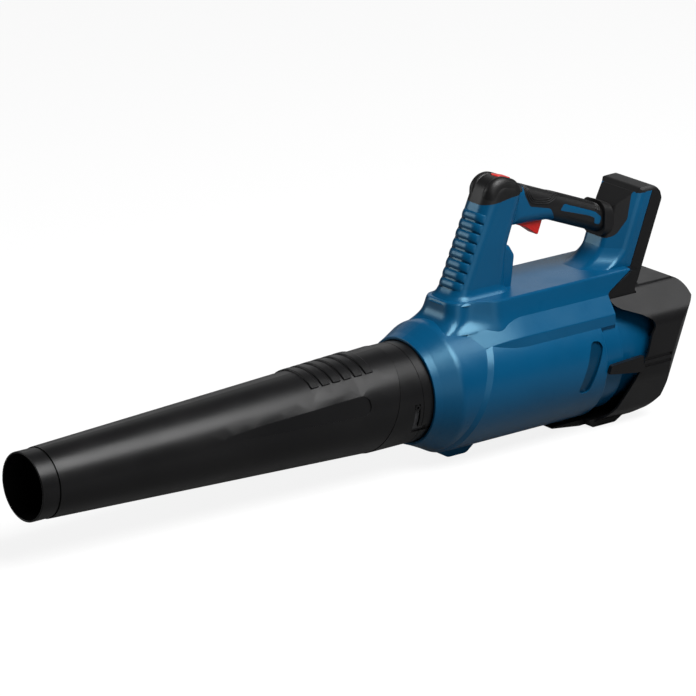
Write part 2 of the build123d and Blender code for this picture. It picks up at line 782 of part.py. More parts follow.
def motor_shaft():
    """Shaft from the nut to the front bearing."""
    return disc(impeller_rear() - 7, POD_FRONT - 1, SHAFT_RADIUS)


def rotor_core():
    """Laminated rotor core."""
    half = STACK_LENGTH / 2 - 0.5
    outer = ROTOR_RADIUS - MAGNET_THICKNESS
    return tube(STACK_X - half, STACK_X + half, SHAFT_RADIUS + RUNNING_FIT, outer)


def rotor_magnets():
    """Four magnet arcs round the core."""
    half = STACK_LENGTH / 2 - 0.5
    inner = ROTOR_RADIUS - MAGNET_THICKNESS + RUNNING_FIT
    ring = tube(STACK_X - half, STACK_X + half, inner, ROTOR_RADIUS)
    slit = block(STACK_X - 60, STACK_X + 60, -0.5, 0.5, -60, 60)
    return ring - slit - Rot(90, 0, 0) * slit


def stator_core():
    """Stator ring with teeth."""
    half = STACK_LENGTH / 2
    outer = POD_RADIUS - POD_WALL - SEAT
    bore = ROTOR_RADIUS + AIR_GAP
    tooth = block(STACK_X - half, STACK_X + half, -TOOTH_WIDTH / 2, TOOTH_WIDTH / 2, bore - 1, outer - 3)
    core = tube(STACK_X - half, STACK_X + half, outer - 4.6, outer)
    core = core + [Rot(360 * i / TOOTH_COUNT, 0, 0) * tooth for i in range(TOOTH_COUNT)]
    return core - disc(STACK_X - 60, STACK_X + 60, bore)


def winding_top():
    """Height of a coil's outer face above the axis."""
    return POD_RADIUS - POD_WALL - 6.0


def stator_windings():
    """One coil round each tooth."""
    half = STACK_LENGTH / 2
    low = ROTOR_RADIUS + AIR_GAP + 1.2
    side = TOOTH_WIDTH / 2 + 3
    coil = block(STACK_X - half - 4, STACK_X + half + 4, -side, side, low, winding_top())
    hole = TOOTH_WIDTH / 2 + SEAT
    coil = coil - block(STACK_X - half - SEAT, STACK_X + half + SEAT, -hole, hole, 0, 60)
    return around_axis(coil, TOOTH_COUNT)


def end_bell(closed_x, open_x):
    """End plate of the motor with a pocket for its bearing, open towards open_x."""
    low = min(closed_x, open_x)
    high = max(closed_x, open_x)
    step = 2.0 if open_x > closed_x else -2.0
    plate = disc(low, high, POD_RADIUS - POD_WALL - SEAT)
    pocket = disc(min(closed_x + step, open_x), max(closed_x + step, open_x), BEARING_RADIUS + SEAT)
    return plate - pocket - disc(low, high, SHAFT_RADIUS + 1)


def bearing(closed_x, step):
    """Ball bearing, closed form, seated against its pocket's floor."""
    near = closed_x + step * (2.0 + SEAT)
    far = near + step * BEARING_WIDTH
    return tube(min(near, far), max(near, far), SHAFT_RADIUS + RUNNING_FIT, BEARING_RADIUS)


def tail_cone():
    """Streamlined cap on the front of the motor pod."""
    start = POD_FRONT + SEAT
    tip = start + 46
    return turned([
        (start, POD_RADIUS - 3, 0), (start, POD_RADIUS, 0), (start + 14, POD_RADIUS - 2, 20), (tip, 6, 5),
        (tip, 0, 0), (tip - 4, 0, 0), (tip - 4, 3, 0), (start + 13, POD_RADIUS - 5, 18),
    ])


def intake_grille():
    """Finger guard in the neck: rings on spokes."""
    outer = NECK_RADIUS - SHELL_WALL - SEAT
    low = NECK_END + 5
    guard = tube(low, low + 3, outer - 3, outer)
    for radius in (14, 27, 40, 53):
        guard = guard + tube(low, low + 3, radius - 1.2, radius + 1.2)
    spoke = block(low, low + 3, -1.5, 1.5, 13, outer - 1)
    return guard + [Rot(60 * i, 0, 0) * spoke for i in range(6)]


def trigger():
    """Finger trigger with a hollowed front and its pivot hole."""
    body = side_prism([
        (-211, 189, 3), (-256, 181.5, 2), (-258.5, 175, 2), (-250.5, 153.5, 2), (-233, 166, 24),
        (-214, 174, 3),
    ], TRIGGER_HALF)
    edges = body.faces().sort_by(Axis.Y)[0].edges() + body.faces().sort_by(Axis.Y)[-1].edges()
    pad = block(SPRING_X - 5, SPRING_X + 5, -5, 5, SPRING_FOOT - 4, SPRING_FOOT)
    return fillet(edges, 1.0) + pad - pivot_rod(RUNNING_FIT)


def trigger_slot():
    """Opening in the grip's underside for the trigger and its swing."""
    return block(-262, -208, -TRIGGER_HALF - BODY_GAP, TRIGGER_HALF + BODY_GAP, 150, 193)


def pivot_rod(grow):
    """The trigger's pivot, let into the grip's side walls."""
    half = GRIP_WIDTH / 2 - SKIN + grow
    return y_rod(TRIGGER_PIN_X, TRIGGER_PIN_Z, TRIGGER_PIN_RADIUS + grow, -half, half)


def coil_spring(x, z_low, z_high, radius, wire, turns):
    """Round-wire spring standing on z_low."""
    height = z_high - z_low - 2 * wire
    path = Pos(x, 0, z_low + wire) * Helix(height / turns, height, radius)
    start = Plane(origin=path @ 0, z_dir=path % 0)
    return sweep(start * Circle(wire), path=path, is_frenet=True)


def switch_module():
    """Trigger switch under the grip's roof."""
    case = Box(SWITCH_LENGTH, 16, SWITCH_DEPTH)
    case = fillet(case.edges().filter_by(Axis.X).group_by(Axis.Z)[-1], 2.5)
    body = Pos(SWITCH_X, 0, switch_centre()) * Rot(0, -GRIP_SLOPE, 0) * case
    return body + block(SPRING_X - 5, SPRING_X + 5, -5, 5, SPRING_HEAD, switch_centre())


def switch_centre():
    """Height of the switch's middle, so that it hangs just under the roof."""
    cosine = math.cos(math.radians(GRIP_SLOPE))
    return grip_top_at(SWITCH_X) - (SKIN + HANDLE_WALL + SWITCH_GAP + SWITCH_DEPTH / 2) / cosine


def button_prism(margin):
    """Upright rounded column of the button's plan."""
    plan = RectangleRounded(BUTTON_LENGTH + 2 * margin, BUTTON_WIDTH + 2 * margin, 5 + margin)
    return extrude(Pos(BUTTON_X, 0, BUTTON_FOOT) * plan, amount=60)


def boost_button():
    """Thumb button that follows the handle's top, standing a little proud."""
    button = button_prism(0) & post_level(BUTTON_PROUD)
    button = fillet(button.faces().sort_by(Axis.Z)[-1].edges(), BUTTON_PROUD)
    under = SKIN + HANDLE_WALL + BODY_GAP
    flange = button_prism(BUTTON_FLANGE) & post_level(-under)
    below = (button_prism(2 * BUTTON_FLANGE) - button_prism(0)) & post_level(-under - 2)
    return button + flange - below


def post_level(rise):
    """Front post's side outline grown by rise, as a plain prism."""
    return extrude(Plane.XZ * offset(outline(post_corners()), amount=rise), amount=BUTTON_WIDTH, both=True)


def button_switch():
    """Push switch on its shelf below the button."""
    return block(BUTTON_X - 7, BUTTON_X + 7, -6, 6, SHELF_TOP + SEAT, SHELF_TOP + 6)


def switch_shelf():
    """Shelf from the right shell half's side wall that carries the push switch."""
    side = POST_WIDTH / 2 - SKIN - HANDLE_WALL + 1
    return block(BUTTON_X - 7, BUTTON_X + 7, -side, 7, SHELF_TOP - 2.5, SHELF_TOP)


def battery_mount():
    """Leaning rail plate behind the rear post, with a skirt round the deck's rear end."""
    low = COVER_TOP + BODY_GAP
    slab = side_prism([
        (rear_back_at(low) - SEAT, low, 0), (rear_back_at(REAR_TOP) - SEAT, REAR_TOP, 0),
        (rear_back_at(REAR_TOP) - MOUNT_DEPTH + 8, REAR_TOP, 6),
        (rear_back_at(REAR_TOP - 12) - MOUNT_DEPTH, REAR_TOP - 12, 6),
        (rear_back_at(low) - MOUNT_DEPTH, low, 0),
    ], REAR_HALF)
    edges = slab.edges().filter_by(Axis.Y, reverse=True).group_by(Axis.X)[0]
    rear = deck_end()
    skirt = side_prism([
        (DECK_REAR - 0.5, low - 16, 0), (DECK_REAR - 0.5, RIDGE_HEIGHT - 0.7, 6),
        (rear - 1, DECK_HEIGHT - 1.8, 0),
        (rear_back_at(DECK_HEIGHT) - 1, DECK_HEIGHT - 1.8, 0), (rear_back_at(low) - 2, low, 0),
        (rear_back_at(low) - 2, low - 16, 0),
    ], RIDGE_HALF - 0.5)
    skirt = skirt - rear_post(-BODY_GAP) - disc(NECK_END, DECK_REAR + 20, NECK_STEP_RADIUS + BODY_GAP)
    mount = slab + skirt
    channel = mount_box(-RAIL_HALF, RAIL_HALF, 8, 140, -RAIL_DEPTH, 5)
    for side in (-1, 1):
        inner = side * (RAIL_HALF - RAIL_LIP)
        outer = side * (RAIL_HALF + 1)
        channel = channel - mount_box(min(inner, outer), max(inner, outer), 0, 150, -RAIL_LIP, 5)
    return mount - channel


def mount_plane():
    """Frame on the mount's rear face: across, up the slope, out of the face."""
    lean = math.radians(REAR_LEAN)
    origin = (rear_back_at(MOUNT_ZERO) - MOUNT_DEPTH, 0, MOUNT_ZERO)
    return Plane(origin=origin, x_dir=(0, -1, 0), z_dir=(-math.cos(lean), 0, -math.sin(lean)))


def mount_point(up, out):
    """Point in the mount's middle plane."""
    return (mount_plane().location * Pos(0, up, out)).position


def mount_box(a_low, a_high, up_low, up_high, out_low, out_high):
    """Box in the mount's frame."""
    return mount_plane().location * block(a_low, a_high, up_low, up_high, out_low, out_high)


def blade_boxes(grow):
    """The battery contacts, as plates standing up the slope."""
    boxes = []
    for i in range(4):
        a = (i - 1.5) * 9
        half = 0.4 + grow
        boxes.append(mount_box(a - half, a + half, 16 - grow, 36, -RAIL_DEPTH + 1.5 - grow, -2 + grow))
    return boxes


def terminal_block():
    """Moulded block that holds the battery contacts at the foot of the rails."""
    body = mount_box(-20, 20, 8 + SEAT, 21, -RAIL_DEPTH + SEAT, -0.8)
    return body - blade_boxes(SEAT)


def terminal_blades():
    """Four flat battery contacts."""
    return group(blade_boxes(0))


def rear_hood(post, hand):
    """Soft hood: cap over the post's top, skin on its front face, lip round the grip's end."""
    top = REAR_TOP - 1
    back = rear_back_at(REAR_TOP)
    cap = side_prism([
        (back + 25, top - 3, 0), (back + 17, top + HOOD_THICKNESS, 6),
        (back - 4, top + HOOD_THICKNESS + 1.5, 14), (back - MOUNT_DEPTH + 9, top, 0), (back + 21, top, 0),
    ], REAR_HALF)
    rounded = across_prism([(REAR_HALF, top + HOOD_THICKNESS + 2, 9), (REAR_HALF, top - 20, 0)], -460, -330)
    plan = rear_plan(REAR_HALF, REAR_FACE_X, REAR_FACE_X - REAR_DEPTH - MOUNT_DEPTH)
    rounded = rounded & Pos((DECK_HEIGHT - top) * lean_run(), 0, top - 20) * extrude(plan, amount=40)
    front = soft_skin(post, rear_post(SKIN), hood_region())
    collar = grip(-4) & block(-357, -343, -30, 30, 120, 200)
    return (cap & rounded) + front + collar - hand - rear_post(SKIN)


def cover_form(inset, front):
    """Outer form of the intake cover: an across section, a side outline and a leaning plan."""
    section = [
        (46, COVER_TOP, 10), (COVER_HALF, 44, 26), (COVER_HALF, -20, 50), (58, -72, 24), (40, -84, 6),
    ]
    rear = COVER_REAR + inset
    side = front + [
        (rear + 70, -84 + inset, 20), (rear + 40, -60, 40), (rear + 17, -18, 80), (rear, 40, 60),
        (rear, COVER_TOP - inset + 0.2, 16),
    ]
    half = COVER_HALF - inset + 2
    plan = outline([(-200, -half, 0), (rear, -half, 36), (rear, half, 36), (-200, half, 0)])
    along = Vector(-lean_run(), 0, 1)
    start = Plane.XY.offset(-100) * (Pos(144 * lean_run(), 0, 0) * plan)
    leaning = extrude(start, amount=200 * along.length, dir=along)
    return across_prism(section, COVER_REAR - 5, -230, inset) & side_prism(side, 100) & leaning


def intake_cover():
    """Rear shroud: wavy front edge, closed back, rear foot, tongue under the barrel, side struts."""
    wave = [
        (COVER_FRONT, COVER_TOP + 1, 0), (COVER_FRONT - 4, 65, 8), (COVER_FRONT - 12, 60, 8),
        (COVER_FRONT - 36, 51, 10), (COVER_FRONT - 53, 40, 9), (COVER_FRONT - 45, 26, 9),
        (COVER_FRONT - 39, 4, 20), (COVER_FRONT - 24, -22, 20), (COVER_FRONT - 16, -48, 20),
        (COVER_FRONT - 10, -64, 10), (COVER_FRONT + 12, -86, 0),
    ]
    plain = [(-235, COVER_TOP + 1, 0), (-235, -86, 0)]
    shroud = cover_form(0, wave) - cover_form(COVER_WALL, plain)
    floor = -AXIS_HEIGHT
    foot = side_prism([
        (-303, -70, 0), (-309, floor, 5), (-346, floor, 8), (-362, -80, 5), (-362, -70, 0),
    ], REAR_FOOT_HALF)
    tongue = side_prism([
        (-252, -70, 0), (-256, -82.5, 3), (-300, floor + 1, 10), (-340, floor + 2, 0), (-340, -70, 0),
    ], 30)
    under = (foot + tongue) - cover_form(COVER_WALL, plain) & block(-380, -240, -60, 60, -95, -55)
    cover = shroud + under + both_sides(strut())
    cover = cover - disc(BARREL_END, -200, BARREL_RADIUS + BODY_GAP)
    cover = cover - disc(NECK_STEP_END, -200, NECK_STEP_RADIUS + BODY_GAP)
    cover = cover - disc(NECK_END, -200, NECK_RADIUS + BODY_GAP)
    notch = block(rear_back_at(COVER_TOP) - 3.5, -250, -RIDGE_HALF - 1, RIDGE_HALF + 1, 40, 100)
    cover = cover - notch - both_sides(strut_slot())
    return cover - [cover_screw(side, BODY_GAP / 2) for side in (-1, 1)]


def strut():
    """Pointed side strut from the cover's front edge over the barrel."""
    face = outline([
        (-299, -9, 1), (-303, 1, 3), (-347, 3.5, 10), (-352, 3.5, 0), (-352, -16, 0), (-340, -15, 6),
    ])
    low = BARREL_RADIUS + BODY_GAP
    return extrude(Plane.XZ.offset(-low - STRUT_THICKNESS) * face, amount=STRUT_THICKNESS + 2)


def strut_slot():
    """Two narrow slots in the cover's side behind the strut."""
    cuts = []
    for z in (-2.5, -10.5):
        cuts.append(block(-398, -356, COVER_HALF - 1.6, COVER_HALF + 5, z - 2, z + 2))
    return cuts[0] + cuts[1]


def cover_screw(side, grow):
    """Screw up through the tongue into the barrel's floor."""
    x = -286.0
    y = 15.0 * side
    head = Pos(x, y, -AXIS_HEIGHT + 3.5) * Cylinder(SCREW_HEAD + grow, 4)
    shank = Pos(x, y, -AXIS_HEIGHT + 8.5) * Cylinder(SCREW_RADIUS + grow, 9)
    return head + shank


def housing_screws():
    """Shell screws, driven from the right side."""
    return [shell_screw(x, z, half, 0) for x, z, half in shell_bosses()]


def shell_screw(x, z, half, grow):
    """One shell screw: head near the right side, shank across the parting plane."""
    out = half - 7
    head = y_rod(x, z, SCREW_HEAD + grow, -out - 2.5 - grow, -out)
    shank = y_rod(x, z, SCREW_RADIUS + grow, -out - 1, 9 + grow)
    return head + shank


def screw_well(x, z, half):
    """Way in for the screwdriver, from the right side to the screw's head."""
    return y_rod(x, z, SCREW_HEAD + BODY_GAP, -half - 20, -half + 5)


def board_tray():
    """Tray under the deck, hung on four legs."""
    low = BOARD_LEVEL - 4
    tray = block(TRAY_REAR, TRAY_FRONT, -TRAY_HALF, TRAY_HALF, low, low + 2)
    rim = block(TRAY_REAR, TRAY_FRONT, -TRAY_HALF, TRAY_HALF, low, low + 3.5)
    tray = tray + (rim - block(TRAY_REAR + 2, TRAY_FRONT - 2, -TRAY_HALF + 2, TRAY_HALF - 2, low, low + 9))
    for x in (TRAY_REAR + 4, TRAY_FRONT - 4):
        for y in (-TRAY_HALF + 4, TRAY_HALF - 4):
            top = DECK_HEIGHT - SHELL_WALL - SEAT
            tray = tray + Pos(x, y, (low + top) / 2) * Cylinder(3, top - low)
    return tray


def lead_level(radius):
    """Height of a lead's middle where it lies on the board."""
    return BOARD_LEVEL - 2 + BOARD_THICKNESS + 2 * SEAT + radius


def control_board():
    """Circuit board with its power transistors and capacitors."""
    low = BOARD_LEVEL - 2 + SEAT
    half = TRAY_HALF - 9
    board = block(TRAY_REAR + 9, TRAY_FRONT - 9, -half, half, low, low + BOARD_THICKNESS)
    for i in range(6):
        x = TRAY_REAR + 22 + 9 * i
        board = board + block(x, x + 6, -half + 3, -half + 12, low + 1, low + 6)
    for i in range(3):
        board = board + Pos(TRAY_FRONT - 26, -14 + 14 * i, low + 6) * Cylinder(5, 10)
    return board


def lead(points, radius):
    """Wire along straight runs with tangent arcs."""
    path = FilletPolyline(*points, radius=12)
    return sweep(Plane(origin=path @ 0, z_dir=path % 0) * Circle(radius), path=path)


def phase_leads():
    """Three motor leads: from the board forward, then down inside the thick vane."""
    leads = []
    level = lead_level(LEAD_RADIUS)
    for i in (-1, 0, 1):
        y = i * LEAD_PITCH
        points = [(TRAY_FRONT - 12, y, level), (wire_x(), y, level), (wire_x(), y, winding_top() + SEAT)]
        leads.append(lead(points, LEAD_RADIUS))
    return group(leads)


def battery_leads(radius):
    """Two supply leads from the terminal block through the rear post to the board."""
    start = mount_point(15, -RAIL_DEPTH - SEAT)
    inside = mount_point(15, -RAIL_DEPTH - 24)
    leads = []
    for y in (-8, 8):
        points = [
            (start.X, y, start.Z), (inside.X, y, inside.Z), (TRAY_REAR - 10, y, BOARD_LEVEL + 9),
            (TRAY_REAR + 12, y, lead_level(LEAD_RADIUS)),
        ]
        leads.append(lead(points, radius))
    return group(leads)


def switch_leads():
    """Two control leads from the switch down the front post to the board."""
    slope = math.radians(GRIP_SLOPE)
    out = SWITCH_LENGTH / 2 + SEAT
    leads = []
    for y in (5.0, 7.2):
        side = y + 6
        points = [
            (SWITCH_X + out * math.cos(slope), y, switch_centre() + out * math.sin(slope)),
            (SWITCH_X + (out + 9) * math.cos(slope), y, switch_centre() + (out + 9) * math.sin(slope)),
            (-196, side, 196), (-177, side, 160), (-180, side, 95), (-204, side, 92),
            (TRAY_FRONT - 12, side, lead_level(0.9)),
        ]
        leads.append(lead(points, 0.9))
    return group(leads)


def pieces():
    """Every node's solid, in the working frame."""
    hand = handle(0)
    core = handle(SKIN)
    post = rear_post(0)
    cap = soft_skin(hand, core, cap_region()) - button_prism(BODY_GAP)
    sleeve = soft_skin(hand, core, sleeve_region())
    hood = rear_hood(post, hand)
    sleeve = sleeve - rear_post(-SEAT) - hood
    top = plinth(0) - deck_skirt()
    shell = shell_solid({"handle": hand, "post": post, "plinth": top})
    bosses = [y_rod(x, z, BOSS_RADIUS, -half, half) for x, z, half in shell_bosses()]
    inside = hand + post + top + deck(0) + front_foot()
    shell = shell + (group(bosses) & inside)
    shell = shell - [shell_screw(x, z, half, SEAT) for x, z, half in shell_bosses()]
    shell = shell - [screw_well(x, z, half) for x, z, half in shell_bosses()]
    shell = shell - pivot_rod(SEAT)
    shell = shell - [cover_screw(side, SEAT) for side in (-1, 1)]
    shell = shell - cap - sleeve - hood - trigger_slot() - button_prism(BODY_GAP)
    shell = shell - battery_leads(LEAD_RADIUS + BODY_GAP)
    mount = battery_mount() - battery_leads(LEAD_RADIUS + BODY_GAP) - hood
    reach = 1000
    return {
        "nozzle_tube": nozzle_tube(),
        "nozzle_collar": nozzle_collar(),
        "bayonet_studs": bayonet_studs(),
        "outlet_duct": outlet_duct(),
        "collar_seal": collar_seal(),
        "left_housing": shell & block(-reach, reach, 0, reach, -reach, reach),
        "right_housing": (shell & block(-reach, reach, -reach, 0, -reach, reach)) + switch_shelf(),
        "front_grip_cap": cap,
        "grip_sleeve": sleeve,
        "rear_hood": hood,
        "fan_housing": fan_housing(),
        "damper_rings": damper_rings(),
        "fan_impeller": fan_impeller(),
        "fan_nut": fan_nut(),
        "motor_shaft": motor_shaft(),
        "rotor_core": rotor_core(),
        "rotor_magnets": rotor_magnets(),
        "stator_core": stator_core(),
        "stator_windings": stator_windings(),
        "front_end_bell": end_bell(POD_FRONT, POD_FRONT - 10),
        "rear_end_bell": end_bell(POD_REAR, POD_REAR + 10),
        "front_bearing": bearing(POD_FRONT, -1),
        "rear_bearing": bearing(POD_REAR, 1),
        "tail_cone": tail_cone(),
        "intake_grille": intake_grille(),
        "trigger": trigger(),
        "trigger_pin": pivot_rod(0),
        "trigger_spring": coil_spring(SPRING_X, SPRING_FOOT + SEAT, SPRING_HEAD - SEAT, 3.2, 0.5, 5),
        "switch_module": switch_module(),
        "boost_button": boost_button(),
        "button_spring": coil_spring(BUTTON_X, SHELF_TOP + 6 + SEAT, BUTTON_FOOT - SEAT, 3.2, 0.45, 5),
        "button_switch": button_switch(),
        "battery_mount": mount,
        "terminal_block": terminal_block(),
        "terminal_blades": terminal_blades(),
        "board_tray": board_tray(),
        "control_board": control_board(),
        "phase_leads": phase_leads(),
        "battery_leads": battery_leads(LEAD_RADIUS),
        "switch_leads": switch_leads(),
        "intake_cover": intake_cover(),
        "housing_screws": group(housing_screws()),
        "cover_screws": group([cover_screw(side, 0) for side in (-1, 1)]),
    }


def main():
    """Move every piece onto the floor below the tool's middle and write it out."""
    os.makedirs("parts", exist_ok=True)
    middle = (TUBE_LENGTH + COVER_REAR) / 2
    for name, solid in pieces().items():
        export_step(Pos(-middle, 0, AXIS_HEIGHT) * solid, f"parts/{name}.step")


if __name__ == "__main__":
    main()
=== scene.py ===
"""Dresses the cordless leaf blower: finishes, ribs, lines, pads, lobes, springs, studio and camera."""
import json
import math

import bmesh
import bpy
import numpy as np
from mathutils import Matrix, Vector


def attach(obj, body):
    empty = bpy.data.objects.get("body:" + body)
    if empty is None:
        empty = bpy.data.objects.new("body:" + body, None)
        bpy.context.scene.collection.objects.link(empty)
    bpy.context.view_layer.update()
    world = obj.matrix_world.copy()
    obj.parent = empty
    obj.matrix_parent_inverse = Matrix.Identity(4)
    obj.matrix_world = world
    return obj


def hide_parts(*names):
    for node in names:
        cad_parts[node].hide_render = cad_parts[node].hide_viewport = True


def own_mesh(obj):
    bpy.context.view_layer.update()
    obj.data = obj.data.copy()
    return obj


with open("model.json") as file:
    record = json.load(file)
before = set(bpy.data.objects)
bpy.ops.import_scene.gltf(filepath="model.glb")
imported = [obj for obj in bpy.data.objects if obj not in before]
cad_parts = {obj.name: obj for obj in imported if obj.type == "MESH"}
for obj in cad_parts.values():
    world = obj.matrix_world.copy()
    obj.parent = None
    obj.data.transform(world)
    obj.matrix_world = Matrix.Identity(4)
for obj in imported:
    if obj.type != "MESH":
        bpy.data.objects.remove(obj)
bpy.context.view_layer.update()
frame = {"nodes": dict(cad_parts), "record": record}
nodes = frame["nodes"]

# The fan axis lies AXIS_Z above the floor; SHIFT_X takes the zero along it to the part's own frame.
AXIS_Z = 0.089
SHIFT_X = -0.0195

# Front post, in the fan axis' frame: a point of its front line, that line's rise in degrees,
# half of the section's flat and its edge radius
POST_FRONT = (-0.096, 0.060)
POST_RISE = 113.47
POST_FLAT = 0.007
POST_EDGE = 0.017

# Its ribs: place of the lowest groove, number, pitch, groove width, crown and its roundness,
# turn round the post's edge in radians, share of the width with a full crown, points across and along
RIB_FOOT = (-0.118, 0.112)
RIB_COUNT = 8
RIB_PITCH = 0.012
RIB_GROOVE = 0.0018
RIB_CROWN = 0.0014
RIB_ROUND = 0.7
RIB_TURN = 0.95
RIB_FULL = 0.55
RIB_GRID = (61, 15)

# Ribs and lobes are skins laid on the solids: how far their edges sink in, and how deep they reach
SKIN_SINK = 0.0002
SKIN_DEPTH = 0.0009

# Lobes beside the button: side view of the cap's corner and its fillets, step along it,
# where a lobe starts and ends round the post's section, its rise, points across,
# and the skew and sharpness of its two sines, along and across
LOBE_PATH = [(-0.1632, 0.2148), (-0.1743, 0.2403), (-0.2240, 0.2260), (-0.1970, 0.1500)]
LOBE_FILLETS = (0.022, 0.019)
LOBE_STEP = 0.0015
LOBE_INNER = 0.0085
LOBE_OUTER = 0.0270
LOBE_RISE = 0.0034
LOBE_COLUMNS = 25
LOBE_SKEW = (0.8, 0.7)
LOBE_SHARP = (1.2, 1.1)

# Hollow in the side panels, where shade is painted into the blue: where it starts and ends along the fan
# axis, its floor's radius, how softly its ends and its wall fade, and how dark the painted shade is
HOLLOW = (-0.2985, -0.2545)
HOLLOW_RADIUS = 0.0783
HOLLOW_END = 0.001
HOLLOW_WALL = 0.0025
HOLLOW_DARK = 0.8

# Grip, in the fan axis' frame: a point of its top line, its slope, depth, half width and edge radius
GRIP_TOP = (-0.227, 0.2195)
GRIP_SLOPE = math.radians(21)
GRIP_DEPTH = 0.033
GRIP_HALF = 0.017
GRIP_EDGE = 0.013

# Contour lines on the sleeve: middle line in x and girth round the grip, spacing, bead radius, step along
LINE_PATH = [
    (-0.2240, 0.0060), (-0.2345, 0.0235), (-0.2405, 0.0272), (-0.2631, 0.0227), (-0.2771, 0.0099),
    (-0.2850, 0.0075), (-0.3360, 0.0080), (-0.3395, 0.0120), (-0.3380, 0.0190),
]
LINE_SPACING = 0.0024
LINE_RADIUS = 0.0008
LINE_STEP = 0.001

# Pad in the sleeve's window: ends along the fan axis, its edges as (x, height there, slope),
# how far and how suddenly the rear end of its top edge drops, how far its skin stands out and reaches in,
# points along and up
PAD_ENDS = (-0.3300, -0.2780)
PAD_TOP = (-0.2860, 0.1780, 0.32)
PAD_FOOT = (-0.2880, 0.1714, 0.40)
PAD_NOSE = (-0.2880, 0.1723, 0.78)
PAD_DROP = 0.0020
PAD_BEND = 12
PAD_OUT = 0.0003
PAD_IN = 0.0019
PAD_GRID = (35, 15)

# Springs: joint that presses each, place along the fan axis, height of the fixed end, share of length kept
SPRINGS = {
    "trigger_spring": ("trigger_pull", -0.240, 0.19545, 0.41),
    "button_spring": ("boost_press", -0.199, 0.20605, 0.79),
}
MERGE_WITHIN = 1e-6
SHARP_EDGE = math.radians(40)

# Camera: place and target in the fan axis' frame, focal length and picture width in pixels, sensor in mm
CAMERA_PLACE = (3.38242, 4.28646, 1.87033)
CAMERA_TARGET = (0.02598, 0.0, 0.06836)
FOCAL_PIXELS = 5000.0
PICTURE_WIDTH = 696.0
SENSOR = 36.0

# Floor: half its side, how far it lies below the feet, its grey, how bright it shows,
# and the share of that which gloss sees
FLOOR_REACH = 12.0
FLOOR_DROP = 0.0003
FLOOR_GREY = 0.16
FLOOR_SHOWN = 0.86
FLOOR_IN_GLOSS = 0.06


class Sock:
    """A node socket with arithmetic, so that a material reads as a formula."""

    def __init__(self, tree, socket):
        self.tree = tree
        self.socket = socket

    def _math(self, operation, first, second):
        return add_node(self.tree, "ShaderNodeMath", {"operation": operation}, {0: first, 1: second})

    def __add__(self, other):
        return self._math("ADD", self, other)

    __radd__ = __add__

    def __sub__(self, other):
        return self._math("SUBTRACT", self, other)

    def __rsub__(self, other):
        return self._math("SUBTRACT", other, self)

    def __mul__(self, other):
        return self._math("MULTIPLY", self, other)

    __rmul__ = __mul__

    def __pow__(self, other):
        return self._math("POWER", self, other)

    def high(self, other):
        """The larger of two values."""
        return self._math("MAXIMUM", self, other)

    def band(self, start, end):
        """0 before start, 1 after end, smooth between."""
        sockets = {"Value": self, "From Min": start, "From Max": end}
        return add_node(self.tree, "ShaderNodeMapRange", {"interpolation_type": "SMOOTHSTEP"}, sockets)


def add_node(tree, kind, settings, sockets, output=0):
    """Adds a node: its settings first, then a value or a link for each socket; returns one output."""
    node = tree.nodes.new(kind)
    for key, value in settings.items():
        setattr(node, key, value)
    for key, value in sockets.items():
        fill(tree, node.inputs[key], value)
    return Sock(tree, node.outputs[output])


def fill(tree, slot, value):
    """Links a socket into a slot, or writes a plain value there."""
    if isinstance(value, Sock):
        tree.links.new(value.socket, slot)
    else:
        slot.default_value = value


class Shader:
    """A procedural material: object coordinates in metres and one principled shader."""

    def __init__(self, name):
        self.material = bpy.data.materials.new(name)
        self.material.use_nodes = True
        self.tree = self.material.node_tree
        self.tree.nodes.clear()
        out = self.tree.nodes.new("ShaderNodeOutputMaterial")
        self.bsdf = self.tree.nodes.new("ShaderNodeBsdfPrincipled")
        self.tree.links.new(self.bsdf.outputs[0], out.inputs[0])
        self.coords = self.read("ShaderNodeTexCoord", "Object")

    def read(self, kind, output, **sockets):
        """One output of a new node without settings."""
        return add_node(self.tree, kind, {}, sockets, output)

    def axis(self, letter):
        """One object coordinate, in metres."""
        return self.read("ShaderNodeSeparateXYZ", letter, Vector=self.coords)

    def stretched(self, scales):
        """Object coordinates scaled along each axis."""
        return self.read("ShaderNodeMapping", 0, Vector=self.coords, Scale=scales)

    def noise(self, scale, detail, coords=None):
        """Noise from 0 to 1, scale in waves per metre."""
        where = coords or self.coords
        return self.read("ShaderNodeTexNoise", "Fac", Vector=where, Scale=scale, Detail=detail)

    def cells(self, scale):
        """Distance to the nearest of scattered points, scale in points per metre."""
        return self.read("ShaderNodeTexVoronoi", "Distance", Vector=self.coords, Scale=scale)

    def blend(self, factor, first, second):
        """Colour between two colours; sockets 6, 7 and output 2 are the Mix node's colours."""
        colours = [c if isinstance(c, Sock) else (*c, 1.0) for c in (first, second)]
        sockets = {0: factor, 6: colours[0], 7: colours[1]}
        return add_node(self.tree, "ShaderNodeMix", {"data_type": "RGBA"}, sockets, 2)

    def bump(self, height, distance, strength=1.0):
        """Bump from a height, times distance in metres."""
        self.set(Normal=self.read("ShaderNodeBump", 0, Height=height, Distance=distance, Strength=strength))

    def set(self, **sockets):
        """Fills sockets of the principled shader; _ stands for a space in a socket's name."""
        for key, value in sockets.items():
            fill(self.tree, self.bsdf.inputs[key.replace("_", " ")], value)
        return self


